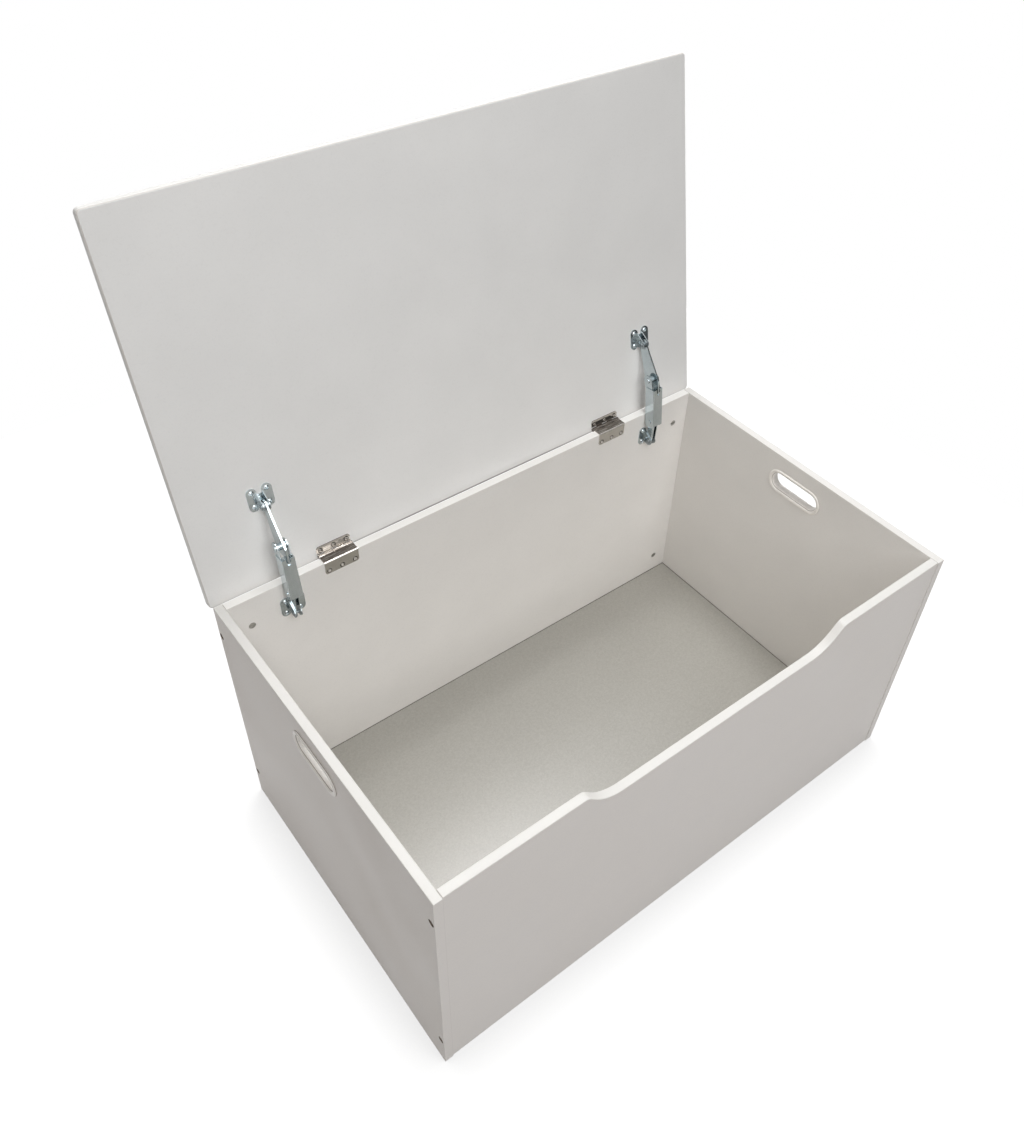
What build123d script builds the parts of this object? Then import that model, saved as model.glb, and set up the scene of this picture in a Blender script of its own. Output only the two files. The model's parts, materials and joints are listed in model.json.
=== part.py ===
"""Wooden toy box with a hinged lid held by two folding spring supports.

Millimetres. The origin is on the ground, in the middle of the back panel's bottom edge. +X is to
the right seen from the front, +Y to the back and +Z up. The lid is modelled shut, then turned open.
"""

import math
import os

from build123d import *

# Box
box_width = 830.0
box_depth = 497.0
box_height = 402.0
board = 12.0
front_setback = 1.0
edge_round = 1.2

# Dip in the front panel's rim
dip_width = 426.0
dip_depth = 31.0
dip_slope = 45.0
dip_shoulder_radius = 12.0
dip_foot_radius = 60.0

# Finger slots in the side panels, each with a liner in two halves
slot_length = 86.0
slot_height = 27.0
slot_drop = 45.5
liner_wall = 2.0
liner_fit = 0.1
liner_rim = 7.0
liner_proud = 2.2
liner_outer_round = 2.0
liner_inner_round = 4.5

# Floor panel in its grooves
floor_board = 6.0
floor_lift = 12.0
groove_depth = 5.0
groove_end_gap = 0.3
groove_top_gap = 0.7

# Corner bolts and barrel nuts
bolt_radius = 3.0
bolt_length = 46.0
bolt_head_radius = 4.6
bolt_head_height = 2.6
bolt_socket = 4.0
bolt_socket_depth = 1.6
bolt_top_drop = 48.0
bolt_bottom_lift = 54.0
nut_radius = 5.0
nut_length = 10.5
nut_inset = 40.0
nut_slot_width = 1.4
nut_slot_depth = 1.2
bolt_fit = 0.05

# Lid
lid_board = 12.0
lid_side_overhang = 2.5
lid_front_overhang = 0.0
lid_rear_overhang = 9.0
lid_corner_radius = 6.0
lid_edge_round = 2.5
lid_open_angle = 101.0

# Hinges
hinge_inset = 177.0
hinge_width = 51.0
leaf = 1.2
leaf_gap = 0.4
leaf_corner = 4.0
leaf_bend = 1.8
box_leaf_drop = 20.0
lid_leaf_reach = 13.5
barrel_radius = 3.0
barrel_gap = 0.3
hinge_pin_radius = 1.5
hinge_pin_fit = 0.06
knuckle_count = 5
knuckle_gap = 0.25
hinge_screw_pitch = 19.5
hinge_screw_drop = 15.0
hinge_screw_reach = 7.5
hinge_screw_head_radius = 3.2

# Screws, shared by the hinges and the brackets
screw_radius = 1.6
screw_length = 9.0
screw_fit = 0.05
dome_radius = 3.6
dome_height = 1.8

# Brackets of the lid supports, alike on the lid and on the back panel
support_inset = 99.0
bracket_sheet = 1.5
bracket_plate_width = 14.0
bracket_plate_length = 32.0
bracket_plate_pitch = 20.6
bracket_screw_pitch = 20.0
bracket_bridge = 12.0
ear_sheet = 1.2
ear_gap = 7.6
ear_nose = 6.5
pin_stand_off = 10.25
pin_shift = 7.5
pin_radius = 2.0
pin_head_radius = 3.4
pin_head_height = 1.3
pin_fit = 0.06
base_bracket_drop = 43.0
lid_pin_reach = 110.0

# Housing of a lid support, measured from the pin in the base bracket
housing_sheet = 1.2
housing_width = 18.0
housing_front = 16.0
housing_back = 2.8
housing_start = 31.0
housing_taper = 4.0
web_stop = 11.7
notch_width = 6.0
notch_depth = 5.0
hook_slot = 2.2
hook_slot_drop = 9.0
hook_slot_length = 5.0
foot_clearance = 0.3
foot_sheet = 1.2
foot_slot_stop = 4.0
foot_eye = 6.0
foot_seat_start = 37.0
foot_seat_height = 7.0
rivet_radius = 1.5
rivet_head_radius = 2.8
rivet_head_height = 0.8

# Inner channel, which closes the housing's back and carries the elbow
inner_sheet = 1.2
inner_lobe = 8.5
inner_cheek_front = 12.0
inner_cheek_drop = 6.0
inner_web_drop = 22.0

# Spring and follower
spring_wire = 1.6
spring_radius = 5.0
spring_turns = 8
follower_height = 5.0
follower_gap = 0.3
cam_gap = 5.5

# Arm of a lid support
arm_sheet = 2.4
arm_cam = 13.0
arm_tip = 7.5
arm_boss = 5.0
arm_stop_gap = 0.1
arm_stop_front = 16.2
arm_stop_rise = 3.0
elbow_radius = 2.2
elbow_head_radius = 4.2
elbow_head_height = 1.4
elbow_fit = 0.07
side_gap = 0.3

# Shares and lengths that only the modelling needs
head_rounding = 0.7
overrun = 1.0
near_enough = 0.01
gap_point_count = 24

# Places worked out from the sizes above
half_width = box_width / 2
inner_half = half_width - board
hinge_offset = half_width - hinge_inset
support_offset = half_width - support_inset
back_middle = 0.0
back_outer = back_middle + board / 2
back_inner = back_middle - board / 2
front_edge = back_outer - box_depth
front_outer = front_edge + front_setback
front_inner = front_outer + board
front_middle = front_outer + board / 2
middle_y = (front_edge + back_outer) / 2
slot_level = box_height - slot_drop
groove_half = inner_half + groove_depth
groove_top = floor_lift + floor_board + groove_top_gap
bolt_levels = (bolt_bottom_lift, box_height - bolt_top_drop)

lid_under = box_height + leaf + leaf_gap + leaf
axis_y = back_outer + barrel_gap + barrel_radius
axis_z = lid_under - barrel_radius - barrel_gap
lid_rear = back_outer + lid_rear_overhang
lid_front = front_edge - lid_front_overhang

base_pin_y = back_inner - pin_stand_off
base_middle_z = box_height - base_bracket_drop
base_pin_z = base_middle_z - pin_shift
lid_pin_y = axis_y - lid_pin_reach
lid_pin_z = lid_under - pin_stand_off


def turned(y, z, angle):
    """A point of the lid, turned about the hinge axis by an angle in degrees."""
    c = math.cos(math.radians(angle))
    s = math.sin(math.radians(angle))
    dy = y - axis_y
    dz = z - axis_z
    return axis_y + c * dy - s * dz, axis_z + s * dy + c * dz


# The hinge axis, the two bracket pins and the elbow are the corners of a parallelogram, so the
# housing turns with the lid and the arm keeps its slant all the way.
open_pin_y, open_pin_z = turned(lid_pin_y, lid_pin_z, -lid_open_angle)
elbow_y = open_pin_y + base_pin_y - axis_y
elbow_z = open_pin_z + base_pin_z - axis_z
link_length = math.hypot(elbow_y - base_pin_y, elbow_z - base_pin_z)
link_tilt = math.atan2(elbow_y - base_pin_y, elbow_z - base_pin_z)
web_top = link_length - web_stop
foot_seat_end = foot_seat_start + foot_seat_height
follower_top = link_length - arm_cam - cam_gap
follower_base = follower_top - follower_height
channel_half = housing_width / 2 - housing_sheet
inner_half_gap = channel_half - inner_sheet
channel_front = housing_front - housing_sheet
channel_back = inner_sheet - housing_back
channel_middle = (channel_front + channel_back) / 2
rivet_level = (foot_seat_start + foot_seat_end) / 2
through = housing_width + 2 * overrun

open_lid = Pos(0, axis_y, axis_z) * Rot(-lid_open_angle, 0, 0) * Pos(0, -axis_y, -axis_z)


def block(x0, x1, y0, y1, z0, z1):
    """A box between two corners."""
    return Pos(x0, y0, z0) * Box(x1 - x0, y1 - y0, z1 - z0, align=(Align.MIN,) * 3)


def rod(radius, x0, x1, y=0.0, z=0.0):
    """A cylinder along X."""
    return Pos((x0 + x1) / 2, y, z) * Rot(0, 90, 0) * Cylinder(radius, abs(x1 - x0))


def edges_at(part, axis, value):
    """The edges that lie wholly in a plane across an axis."""
    near = part.edges().filter_by_position(axis, value - near_enough, value + near_enough)
    return near.filter_by(lambda edge: edge.bounding_box().size.dot(axis.direction) < near_enough)


def screw(head):
    """A wood screw along -Z with its seat at z = 0: a dome on the face, or a flush cone."""
    shank = Pos(0, 0, -screw_length / 2) * Cylinder(screw_radius, screw_length)
    if head == "dome":
        ball = (dome_radius**2 + dome_height**2) / (2 * dome_height)
        cap = Pos(0, 0, dome_height - ball) * Sphere(ball)
        cap &= Pos(0, 0, dome_height / 2) * Cylinder(dome_radius, dome_height)
        return shank + cap
    return shank + Pos(0, 0, leaf / 2) * Cone(screw_radius, hinge_screw_head_radius, leaf)


def screw_hole():
    """What a screw's shank leaves in the board under it."""
    return Pos(0, 0, -screw_length / 2) * Cylinder(screw_radius + screw_fit, screw_length)


# Where the screws sit: the plane's origin is on the board's face and its Z points out of it
def hinge_box_seats(side):
    for step in (-1, 0, 1):
        x = side * hinge_offset + step * hinge_screw_pitch
        yield Plane((x, back_inner, box_height - hinge_screw_drop), x_dir=(1, 0, 0), z_dir=(0, -1, 0))


def hinge_lid_seats(side):
    for step in (-1, 0, 1):
        x = side * hinge_offset + step * hinge_screw_pitch
        yield Plane((x, axis_y - hinge_screw_reach, lid_under), x_dir=(1, 0, 0), z_dir=(0, 0, -1))


def base_face(side):
    origin = (side * support_offset, back_inner, base_middle_z)
    return Plane(origin, x_dir=(1, 0, 0), z_dir=(0, -1, 0))


def lid_face(side):
    origin = (side * support_offset, lid_pin_y - pin_shift, lid_under)
    return Plane(origin, x_dir=(1, 0, 0), z_dir=(0, 0, -1))


def bracket_seats(face):
    for u in (-bracket_plate_pitch / 2, bracket_plate_pitch / 2):
        for v in (-bracket_screw_pitch / 2, bracket_screw_pitch / 2):
            yield face * Pos(u, v, 0)


# Panels
def corner_bolt_places():
    for side in (-1, 1):
        for y in (front_middle, back_middle):
            for z in bolt_levels:
                yield side, y, z


def side_panel(side):
    outer = side * half_width
    inner = side * inner_half
    panel = block(min(outer, inner), max(outer, inner), front_edge, back_outer, 0, box_height)
    panel = fillet(edges_at(panel, Axis.Z, box_height).filter_by(Axis.Y), edge_round)
    panel -= slot_face(side, half_width, side) * extrude(slot_outline(liner_wall + liner_fit), -board)
    depth = side * groove_half
    panel -= block(
        min(inner, depth), max(inner, depth), front_inner - groove_depth, back_inner + groove_depth,
        floor_lift, groove_top,
    )
    for bolt_side, y, z in corner_bolt_places():
        if bolt_side == side:
            panel -= rod(bolt_radius + bolt_fit, inner, outer, y, z)
            panel -= rod(bolt_head_radius + bolt_fit, outer - side * bolt_head_height, outer, y, z)
    return panel


def slot_outline(margin):
    """The finger slot's round-ended outline, wider all round by a margin."""
    return SlotOverall(slot_length + 2 * margin, slot_height + 2 * margin)


def slot_face(side, x, outward):
    """The plane of a side panel's face at the slot, its Z pointing out of the board."""
    return Plane((side * x, middle_y, slot_level), x_dir=(0, 1, 0), z_dir=(outward, 0, 0))


def slot_liner(face):
    """Half of a slot's liner: a rounded rim on the board's face and a sleeve to the board's middle."""
    liner = extrude(slot_outline(liner_rim), liner_proud)
    liner += extrude(slot_outline(liner_wall), -board / 2)
    liner -= extrude(slot_outline(0), board, both=True)
    crown = edges_at(liner, Axis.Z, liner_proud)
    mouth = slot_height / 2 + near_enough
    liner = fillet([edge for edge in crown if across(edge) > mouth], liner_outer_round)
    crown = edges_at(liner, Axis.Z, liner_proud)
    return face * fillet([edge for edge in crown if across(edge) < mouth], liner_inner_round)


def across(edge):
    """How far an edge of a liner reaches from the slot's middle line."""
    box = edge.bounding_box()
    return max(-box.min.Y, box.max.Y)


def end_bolts(panel, middle, inner, side_of_face):
    """Bores a front or back panel for its corner bolts and barrel nuts."""
    for side in (-1, 1):
        for z in bolt_levels:
            tip = side * (half_width - bolt_head_height - bolt_length)
            panel -= rod(bolt_radius + bolt_fit, tip, side * inner_half, middle, z)
            panel -= nut_body(side, inner, z, side_of_face, nut_radius + bolt_fit)
    return panel


def nut_body(side, inner, z, side_of_face, radius):
    y = inner + side_of_face * nut_length / 2
    return Pos(side * (half_width - nut_inset), y, z) * Rot(90, 0, 0) * Cylinder(radius, nut_length)


def groove(inner, side_of_face):
    deep = inner + side_of_face * groove_depth
    return block(-inner_half, inner_half, min(inner, deep), max(inner, deep), floor_lift, groove_top)


def front_panel():
    half_dip = dip_width / 2
    run = dip_depth / math.tan(math.radians(dip_slope))
    low = box_height - dip_depth
    outline = Polygon(
        (-inner_half, 0), (inner_half, 0), (inner_half, box_height), (half_dip, box_height),
        (half_dip - run, low), (run - half_dip, low), (-half_dip, box_height), (-inner_half, box_height),
        align=None,
    )
    shoulders = [v for v in outline.vertices() if abs(abs(v.X) - half_dip) < near_enough]
    outline = fillet(shoulders, dip_shoulder_radius)
    feet = [v for v in outline.vertices() if abs(v.Y - low) < near_enough]
    outline = fillet(feet, dip_foot_radius)
    plane = Plane((0, front_inner, 0), x_dir=(1, 0, 0), z_dir=(0, -1, 0))
    panel = extrude(plane * outline, board)
    rims = [edge for edge in panel.edges() if is_rim_edge(edge)]
    panel = fillet(rims, edge_round)
    panel -= groove(front_inner, -1)
    return end_bolts(panel, front_middle, front_inner, -1)


def is_rim_edge(edge):
    """Whether an edge runs along the front panel's rim on its inner or outer face."""
    box = edge.bounding_box()
    return box.size.Y < near_enough < box.size.X and box.min.Z > box_height / 2


def back_panel():
    panel = block(-inner_half, inner_half, back_inner, back_outer, 0, box_height)
    panel = fillet(edges_at(panel, Axis.Z, box_height).filter_by(Axis.X), edge_round)
    panel -= groove(back_inner, 1)
    for side in (-1, 1):
        for seat in hinge_box_seats(side):
            panel -= seat * screw_hole()
        for seat in bracket_seats(base_face(side)):
            panel -= seat * screw_hole()
    return end_bolts(panel, back_middle, back_inner, 1)


def floor_panel():
    half = groove_half - groove_end_gap
    front = front_inner - groove_depth + groove_end_gap
    back = back_inner + groove_depth - groove_end_gap
    return block(-half, half, front, back, floor_lift, floor_lift + floor_board)


def lid_panel():
    half = half_width + lid_side_overhang
    panel = block(-half, half, lid_front, lid_rear, lid_under, lid_under + lid_board)
    panel = fillet(panel.edges().filter_by(Axis.Z), lid_corner_radius)
    rims = edges_at(panel, Axis.Z, lid_under) + edges_at(panel, Axis.Z, lid_under + lid_board)
    panel = fillet(rims, lid_edge_round)
    for side in (-1, 1):
        for seat in hinge_lid_seats(side):
            panel -= seat * screw_hole()
        for seat in bracket_seats(lid_face(side)):
            panel -= seat * screw_hole()
    return open_lid * panel


# Corner bolts and barrel nuts
def corner_bolt(side, y, z):
    outer = side * half_width
    neck = outer - side * bolt_head_height
    bolt = rod(bolt_head_radius, neck, outer, y, z)
    bolt += rod(bolt_radius, neck - side * bolt_length, neck, y, z)
    hexagon = RegularPolygon(bolt_socket / 2, 6, major_radius=False)
    socket = extrude(hexagon, bolt_socket_depth)
    return bolt - Pos(outer, y, z) * Rot(0, -90 * side, 0) * socket


def barrel_nut(side, y, z):
    side_of_face = 1 if y > middle_y else -1
    inner = back_inner if y > middle_y else front_inner
    nut = nut_body(side, inner, z, side_of_face, nut_radius)
    x = side * (half_width - nut_inset)
    nut -= rod(bolt_radius + bolt_fit, x - nut_radius, x + nut_radius, y, z)
    deep = inner + side_of_face * nut_slot_depth
    low = z - nut_slot_width / 2
    high = z + nut_slot_width / 2
    return nut - block(x - nut_radius, x + nut_radius, min(inner, deep), max(inner, deep), low, high)


# Hinges
def knuckle_spans(side, of_box):
    """The stretches along X of one leaf's knuckles, the box leaf having the outer ones."""
    pitch = hinge_width / knuckle_count
    start = side * hinge_offset - hinge_width / 2
    for i in range(knuckle_count):
        if (i % 2 == 0) == of_box:
            low = start + i * pitch + (knuckle_gap / 2 if i > 0 else 0)
            high = start + (i + 1) * pitch - (knuckle_gap / 2 if i < knuckle_count - 1 else 0)
            yield low, high


def hinge_box_leaf(side):
    """A leaf bent over the rim, curled round the pin behind the back panel."""
    x0 = side * hinge_offset - hinge_width / 2
    x1 = x0 + hinge_width
    face = back_inner - leaf
    bottom = box_height - box_leaf_drop
    flat = block(x0, x1, face, back_inner, bottom, box_height + leaf)
    corners = flat.edges().filter_by(Axis.Y).group_by(Axis.Z)[0]
    flat = fillet(corners, leaf_corner)
    leaf_part = flat + block(x0, x1, face, back_outer, box_height, box_height + leaf)
    bend = edges_at(leaf_part, Axis.Y, face).filter_by(Axis.X)
    leaf_part = fillet(bend.sort_by(Axis.Z)[-1], leaf_bend)
    for low, high in knuckle_spans(side, True):
        leaf_part += rod(barrel_radius, low, high, axis_y, axis_z)
        leaf_part += block(low, high, back_inner + leaf, axis_y, box_height, box_height + leaf)
    leaf_part -= rod(hinge_pin_radius, x0 - overrun, x1 + overrun, axis_y, axis_z)
    for seat in hinge_box_seats(side):
        leaf_part -= seat * screw("cone")
    return leaf_part


def hinge_lid_leaf(side):
    """A flat leaf on the lid's underside, its knuckles between the box leaf's."""
    x0 = side * hinge_offset - hinge_width / 2
    x1 = x0 + hinge_width
    near = axis_y - barrel_radius - barrel_gap
    far = axis_y - lid_leaf_reach
    flat = block(x0, x1, far, near, lid_under - leaf, lid_under)
    corners = flat.edges().filter_by(Axis.Z).group_by(Axis.Y)[0]
    leaf_part = fillet(corners, leaf_corner)
    for low, high in knuckle_spans(side, False):
        leaf_part += rod(barrel_radius, low, high, axis_y, axis_z)
        leaf_part += block(low, high, near - leaf, axis_y, lid_under - leaf, lid_under)
    leaf_part -= rod(hinge_pin_radius + hinge_pin_fit, x0 - overrun, x1 + overrun, axis_y, axis_z)
    for seat in hinge_lid_seats(side):
        leaf_part -= seat * screw("cone")
    return open_lid * leaf_part


def hinge_pin(side):
    x0 = side * hinge_offset - hinge_width / 2
    return rod(hinge_pin_radius, x0, x0 + hinge_width, axis_y, axis_z)


# Lid supports
def bracket():
    """Two screwed plates with a pair of ears between them. Z points away from the board."""
    plates = Part()
    for u in (-bracket_plate_pitch / 2, bracket_plate_pitch / 2):
        outline = SlotOverall(bracket_plate_length, bracket_plate_width, rotation=90)
        plates += Pos(u, 0, 0) * extrude(outline, bracket_sheet)
    half_bridge = bracket_plate_pitch / 2
    half_height = bracket_bridge / 2
    part = plates + block(-half_bridge, half_bridge, -half_height, half_height, 0, bracket_sheet)
    root = bracket_plate_length / 2 - bracket_plate_width / 2
    nose = Pos(-pin_shift, pin_stand_off) * Circle(ear_nose)
    foot = Polygon(
        (-root - ear_nose / 2, 0), (root, 0), (root, bracket_sheet), (-root, bracket_sheet), align=None,
    )
    outline = make_hull(nose.edges() + foot.edges())
    for edge in (-1, 1):
        inner = edge * ear_gap / 2
        plane = Plane((inner, 0, 0), x_dir=(0, 1, 0), z_dir=(1, 0, 0))
        part += extrude(plane * outline, edge * ear_sheet)
    part -= rod(pin_radius, -ear_gap, ear_gap, -pin_shift, pin_stand_off)
    for seat in bracket_seats(Plane.XY):
        part -= seat * Cylinder(screw_radius + screw_fit, 2 * bracket_sheet + overrun)
    return part


def bracket_pin():
    """The riveted pin of a bracket, in the bracket's own frame."""
    end = ear_gap / 2 + ear_sheet
    pin = rod(pin_radius, -end, end, -pin_shift, pin_stand_off)
    for edge in (-1, 1):
        pin += rod(pin_head_radius, edge * end, edge * (end + pin_head_height), -pin_shift, pin_stand_off)
    rims = [edge for edge in pin.edges() if abs(edge.center().X) > end + pin_head_height / 2]
    return fillet(rims, pin_head_height * head_rounding)


def link_plane(side):
    """The plane of a housing's side view: X to its front, Y up along it, origin at its pin."""
    front = (0, -math.cos(link_tilt), math.sin(link_tilt))
    return Plane((side * support_offset, base_pin_y, base_pin_z), x_dir=front, z_dir=(-1, 0, 0))


def housing(side):
    """A channel with its web to the front, tapered at the foot, notched for the arm."""
    outline = Polygon(
        (-housing_back, housing_start + housing_taper), (0, housing_start),
        (housing_front - housing_taper, housing_start), (housing_front, housing_start + housing_taper),
        (housing_front, web_top), (-housing_back, web_top), align=None,
    )
    body = extrude(outline, housing_width / 2, both=True)
    behind = -housing_back - overrun
    hollow = Polygon(
        (behind, 0), (channel_front, 0), (channel_front, link_length), (behind, link_length), align=None,
    )
    body -= extrude(hollow, channel_half, both=True)
    body = fillet([edge for edge in body.edges() if is_front_corner(edge)], housing_sheet)
    face = Plane((housing_front, web_top, 0), x_dir=(0, 0, 1), z_dir=(1, 0, 0))
    notch = Pos(0, notch_depth / 2) * Rectangle(notch_width, notch_depth)
    hook = Pos(0, hook_slot_drop) * SlotOverall(hook_slot_length, hook_slot)
    stem = Pos((hook_slot_length - hook_slot) / 2, hook_slot_drop - hook_slot)
    hook += stem * SlotOverall(2 * hook_slot, hook_slot, rotation=90)
    body -= extrude(face * (notch + hook), -housing_sheet)
    body -= Pos(channel_middle, rivet_level, 0) * Cylinder(rivet_radius, through)
    return link_plane(side) * body


def is_front_corner(edge):
    """Whether an edge is one of the channel's two long outer corners."""
    box = edge.bounding_box()
    off_front = abs(box.min.X - housing_front)
    off_side = abs(abs(box.min.Z) - housing_width / 2)
    return box.size.Y > (web_top - housing_start) / 2 and max(off_front, off_side) < near_enough


def inner_channel(side):
    """The channel inside the housing: its web shuts the back, its lobes hold the elbow rivet."""
    cheek_end = web_top - inner_cheek_drop
    strip = Polygon(
        (-housing_back, foot_seat_start), (inner_cheek_front, foot_seat_start),
        (inner_cheek_front, cheek_end), (-housing_back, cheek_end), align=None,
    )
    top = strip.edges().sort_by(Axis.Y)[-1]
    lobe = Pos(0, link_length) * Circle(inner_lobe)
    cheek = strip + make_hull([top] + lobe.edges())
    body = extrude(cheek, channel_half, both=True)
    end = link_length + inner_lobe + overrun
    hollow = Polygon(
        (channel_back, 0), (housing_front, 0), (housing_front, end), (channel_back, end), align=None,
    )
    behind = -inner_lobe - overrun
    web_end = link_length - inner_web_drop
    opened = Polygon((behind, web_end), (0, web_end), (0, end), (behind, end), align=None)
    body -= extrude(hollow + opened, inner_half_gap, both=True)
    body -= Pos(0, link_length, 0) * Cylinder(elbow_radius, through)
    body -= Pos(channel_middle, rivet_level, 0) * Cylinder(rivet_radius, through)
    return link_plane(side) * body


def housing_foot(side):
    """Two blades between the base bracket's ears, with the spring's seat inside the channel."""
    half = ear_gap / 2 - foot_clearance
    eye = Circle(foot_eye)
    neck = Pos(channel_middle, foot_seat_start) * Rectangle(2 * foot_eye, rivet_radius)
    blade = make_hull(eye.edges() + neck.edges())
    foot = extrude(blade, half, both=True)
    slot_end = foot_seat_start - foot_slot_stop
    slot = Polygon(
        (-link_length, -link_length), (link_length, -link_length), (link_length, slot_end),
        (-link_length, slot_end), align=None,
    )
    foot -= extrude(slot, half - foot_sheet, both=True)
    seat = Polygon(
        (channel_back, foot_seat_start), (channel_front, foot_seat_start), (channel_front, foot_seat_end),
        (channel_back, foot_seat_end), align=None,
    )
    foot += extrude(seat, inner_half_gap, both=True)
    foot -= Cylinder(pin_radius + pin_fit, through)
    foot -= Pos(channel_middle, rivet_level, 0) * Cylinder(rivet_radius, through)
    return link_plane(side) * foot


def foot_rivet(side):
    end = housing_width / 2
    rivet = Cylinder(rivet_radius, 2 * end)
    for edge in (-1, 1):
        head = Cylinder(rivet_head_radius, rivet_head_height)
        rivet += Pos(0, 0, edge * (end + rivet_head_height / 2)) * head
    return link_plane(side) * Pos(channel_middle, rivet_level, 0) * rivet


def elbow_rivet(side):
    end = channel_half
    rivet = Cylinder(elbow_radius, 2 * end)
    for edge in (-1, 1):
        head = Cylinder(elbow_head_radius, elbow_head_height)
        rivet += Pos(0, 0, edge * (end + elbow_head_height / 2)) * head
    rims = [edge for edge in rivet.edges() if abs(edge.center().Z) > end + elbow_head_height / 2]
    rivet = fillet(rims, elbow_head_height * head_rounding)
    return link_plane(side) * Pos(0, link_length, 0) * rivet


def helix_route(turns, radius, pitch):
    """A helix up Y from z = 0 as pairs of tangent arcs, a pair to each quarter turn."""
    slope = pitch / (2 * math.pi * radius)
    scale = 1 / math.hypot(1, slope)
    arcs = []
    steps = 4 * turns
    for i in range(steps):
        ends = []
        for k in (i, i + 1):
            angle = k * math.pi / 2
            spot = Vector(radius * math.cos(angle), pitch * k / 4, -radius * math.sin(angle))
            way = Vector(-math.sin(angle), slope, -math.cos(angle)) * scale
            ends.append((spot, way))
        (start, out), (stop, arrive) = ends
        chord = stop - start
        both = out + arrive
        cosine = out.dot(arrive)
        reach = 2 * (1 - cosine) * chord.dot(chord)
        arm = (math.sqrt(chord.dot(both) ** 2 + reach) - chord.dot(both)) / (2 * (1 - cosine))
        middle = (start + out * arm + stop - arrive * arm) * 0.5
        arcs.append(TangentArc(start, middle, tangent=out))
        arcs.append(TangentArc(middle, stop, tangent=stop - arrive * arm - middle))
    return Wire(arcs)


def spring_route():
    """The coil's middle line, from the foot's seat to the follower."""
    length = follower_base - foot_seat_end - spring_wire
    return helix_route(spring_turns, spring_radius, length / spring_turns)


def spring(side):
    """An open coil between the foot's seat and the follower."""
    route = spring_route()
    section = Plane(route @ 0, z_dir=route % 0) * Circle(spring_wire / 2)
    coil = sweep(section, path=route)
    base = foot_seat_end + spring_wire / 2
    return link_plane(side) * Pos(channel_middle, base, 0) * coil


def least_spring_gap():
    """The coil's least gap to itself, measured on points at least half a turn apart."""
    route = spring_route()
    steps = spring_turns * gap_point_count
    points = [route @ (i / steps) for i in range(steps + 1)]
    apart = gap_point_count // 2
    spans = [(a - b).length for i, a in enumerate(points) for b in points[i + apart:]]
    return min(spans) - spring_wire


def spring_follower(side):
    """The block between the spring and the arm's cam."""
    front = channel_front - follower_gap
    back = channel_back + follower_gap
    outline = Polygon(
        (back, follower_base), (front, follower_base), (front, follower_top), (back, follower_top),
        align=None,
    )
    return link_plane(side) * extrude(outline, inner_half_gap - follower_gap, both=True)


def arm(side):
    """A flat arm with a round cam at the elbow, a narrow tip and a stop that meets the notch."""
    dy = open_pin_y - elbow_y
    dz = open_pin_z - elbow_z
    tip_x = -dy * math.cos(link_tilt) + dz * math.sin(link_tilt)
    tip_y = dy * math.sin(link_tilt) + dz * math.cos(link_tilt)
    cam = Circle(arm_cam)
    tip = Pos(tip_x, tip_y) * Circle(arm_tip)
    outline = make_hull(cam.edges() + tip.edges())
    bottom = arm_stop_gap - web_stop - notch_depth
    shoulder = Polygon(
        (arm_stop_front, bottom), (arm_stop_front, arm_stop_rise), (tip_x + arm_tip, tip_y), (0, 0),
        (arm_cam / 2, bottom), align=None,
    )
    plate = extrude(outline + shoulder, arm_sheet / 2, both=True)
    plate += Cylinder(arm_boss, 2 * (inner_half_gap - side_gap))
    plate += Pos(tip_x, tip_y, 0) * Cylinder(arm_boss, ear_gap - 2 * side_gap)
    plate -= Cylinder(elbow_radius + elbow_fit, through)
    plate -= Pos(tip_x, tip_y, 0) * Cylinder(pin_radius + pin_fit, through)
    return link_plane(side) * Pos(0, link_length, 0) * plate


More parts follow.
